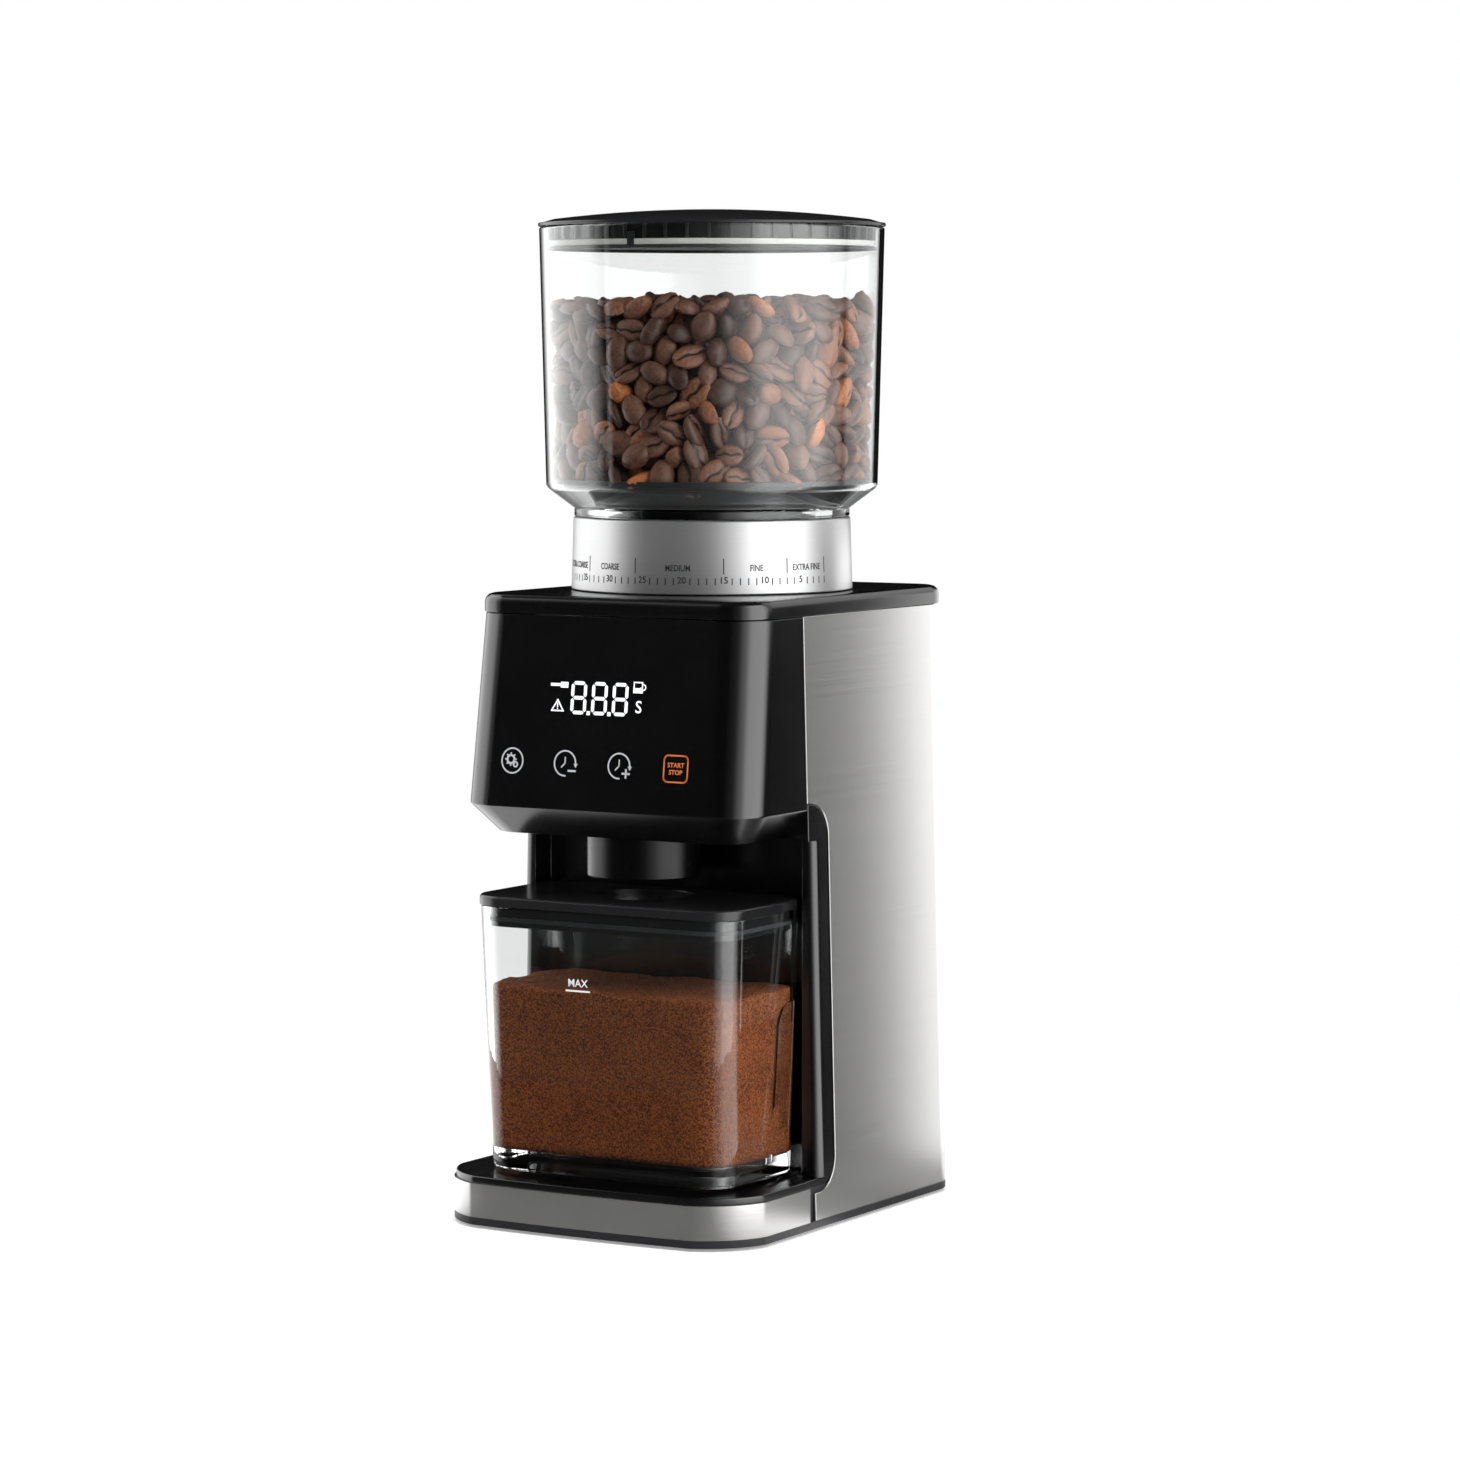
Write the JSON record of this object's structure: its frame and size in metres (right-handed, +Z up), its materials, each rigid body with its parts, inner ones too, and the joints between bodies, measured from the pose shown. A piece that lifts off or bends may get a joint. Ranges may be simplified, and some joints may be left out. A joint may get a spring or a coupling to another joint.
{
  "type": "burr coffee grinder",
  "caption": "Electric burr coffee grinder with a clear bean hopper, a steel setting collar, a black touch panel head, steel clad sides and a clear grounds jar.",
  "frame": {"origin": "middle of the outer box at the plane of the feet", "axes": "-Y to the front with the touch panel, +X to the right of someone who faces the front, +Z up"},
  "size_m": [0.1388, 0.1808, 0.3899],
  "materials": {
    "gloss_black": "high gloss moulded",
    "satin_black": "fine satin texture",
    "brushed_steel": "brushed, lengthwise grain",
    "collar_metal": "satin brushed round",
    "clear_plastic": "clear polished",
    "rubber": "matt",
    "silicone": "soft matt",
    "screw_steel": "zinc plated",
    "polished_steel": "ground and polished",
    "burr_steel": "hardened, machined",
    "cast_alloy": "die cast, shot blasted",
    "bronze": "sintered",
    "magnet": "ferrite",
    "carbon": "carbon",
    "winding": "varnished copper on laminated steel",
    "white_nylon": "moulded, waxy",
    "dark_nylon": "glass filled",
    "circuit_board": "solder resist",
    "display_white": "moulded frame",
    "spring_bronze": "plated spring"
  },
  "bodies": {
    "housing": {"rubber_feet": "rubber", "base_tray": "satin_black", "base_band": "brushed_steel", "base_cover": "gloss_black", "base_screws": "screw_steel", "column_housing": "gloss_black", "side_panel_left": "brushed_steel", "side_panel_right": "brushed_steel", "rear_cover": "satin_black", "cord_gland": "rubber", "head_cover": "gloss_black", "deck_plate": "gloss_black", "deck_screws": "screw_steel", "display_board": "circuit_board", "digit_display": "display_white", "touch_springs": "spring_bronze", "chute": "gloss_black", "grind_chamber": "dark_nylon", "chamber_screws": "screw_steel", "shaft_seal": "silicone", "mount_grommets": "rubber", "gearbox_base": "cast_alloy", "gearbox_cover": "cast_alloy", "gearbox_screws": "screw_steel", "shaft_bearings": "bronze", "gear_pin": "polished_steel", "motor_can": "polished_steel", "motor_magnets": "magnet", "motor_bearings": "bronze", "motor_brushes": "carbon", "motor_screws": "screw_steel", "click_spring": "polished_steel", "jar_switch": "dark_nylon", "plunger_spring": "polished_steel", "power_board": "circuit_board", "board_parts": "carbon", "board_screws": "screw_steel"},
    "burr_shaft": {"drive_shaft": "polished_steel", "output_gear": "white_nylon", "sweeper": "dark_nylon", "cone_burr": "burr_steel", "burr_nut": "polished_steel"},
    "compound": {"compound_gear": "white_nylon"},
    "rotor": {"motor_rotor": "winding", "motor_pinion": "polished_steel"},
    "collar": {"setting_collar": "collar_metal", "collar_retainer": "dark_nylon", "retainer_screws": "screw_steel"},
    "carrier": {"burr_carrier": "dark_nylon", "ring_burr": "burr_steel", "burr_screws": "screw_steel"},
    "switch_plunger": {"jar_switch_plunger": "white_nylon"},
    "hopper": {"hopper": "clear_plastic", "hopper_funnel": "satin_black"},
    "hopper_lid": {"hopper_lid": "gloss_black", "lid_gasket": "silicone"},
    "jar": {"grounds_jar": "clear_plastic"},
    "jar_lid": {"jar_lid": "gloss_black", "jar_lid_seal": "silicone"}
  },
  "joints": [
    {"name": "collar_turn", "type": "hinge", "parent": "housing", "child": "collar", "pos_m": [0, 0.0095, 0.255], "axis": [0, 0, 1], "range_deg": [-82, 48]},
    {"name": "carrier_lead", "type": "slide", "parent": "collar", "child": "carrier", "axis": [0, 0, 1], "range_m": [-0.00095, 0.00055]},
    {"name": "hopper_lift", "type": "slide", "parent": "collar", "child": "hopper", "axis": [0, 0, 1], "range_m": [0, 0.06]},
    {"name": "hopper_lid_lift", "type": "slide", "parent": "hopper", "child": "hopper_lid", "axis": [0, 0, 1], "range_m": [0, 0.04]},
    {"name": "motor_spin", "type": "hinge", "parent": "housing", "child": "rotor", "pos_m": [0, 0.04, 0.12], "axis": [0, 0, 1], "continuous": true},
    {"name": "idler_spin", "type": "hinge", "parent": "housing", "child": "compound", "pos_m": [0.02568, 0.02869, 0.175], "axis": [0, 0, 1], "continuous": true},
    {"name": "burr_spin", "type": "hinge", "parent": "housing", "child": "burr_shaft", "pos_m": [0, 0.0095, 0.2], "axis": [0, 0, 1], "continuous": true},
    {"name": "jar_slide", "type": "slide", "parent": "housing", "child": "jar", "axis": [0, -1, 0], "range_m": [0, 0.12]},
    {"name": "jar_lid_lift", "type": "slide", "parent": "jar", "child": "jar_lid", "axis": [0, 0, 1], "range_m": [0, 0.0065]},
    {"name": "jar_switch_press", "type": "slide", "parent": "housing", "child": "switch_plunger", "axis": [0, 1, 0], "range_m": [0, 0.0008], "stiffness_N_per_m": 200, "springref_m": -0.002}
  ],
  "couplings": [
    {"joint": "carrier_lead", "follows": "collar_turn", "m_per_rad": 0.00057296},
    {"joint": "idler_spin", "follows": "motor_spin", "ratio": -0.27273},
    {"joint": "burr_spin", "follows": "motor_spin", "ratio": 0.076364}
  ]
}
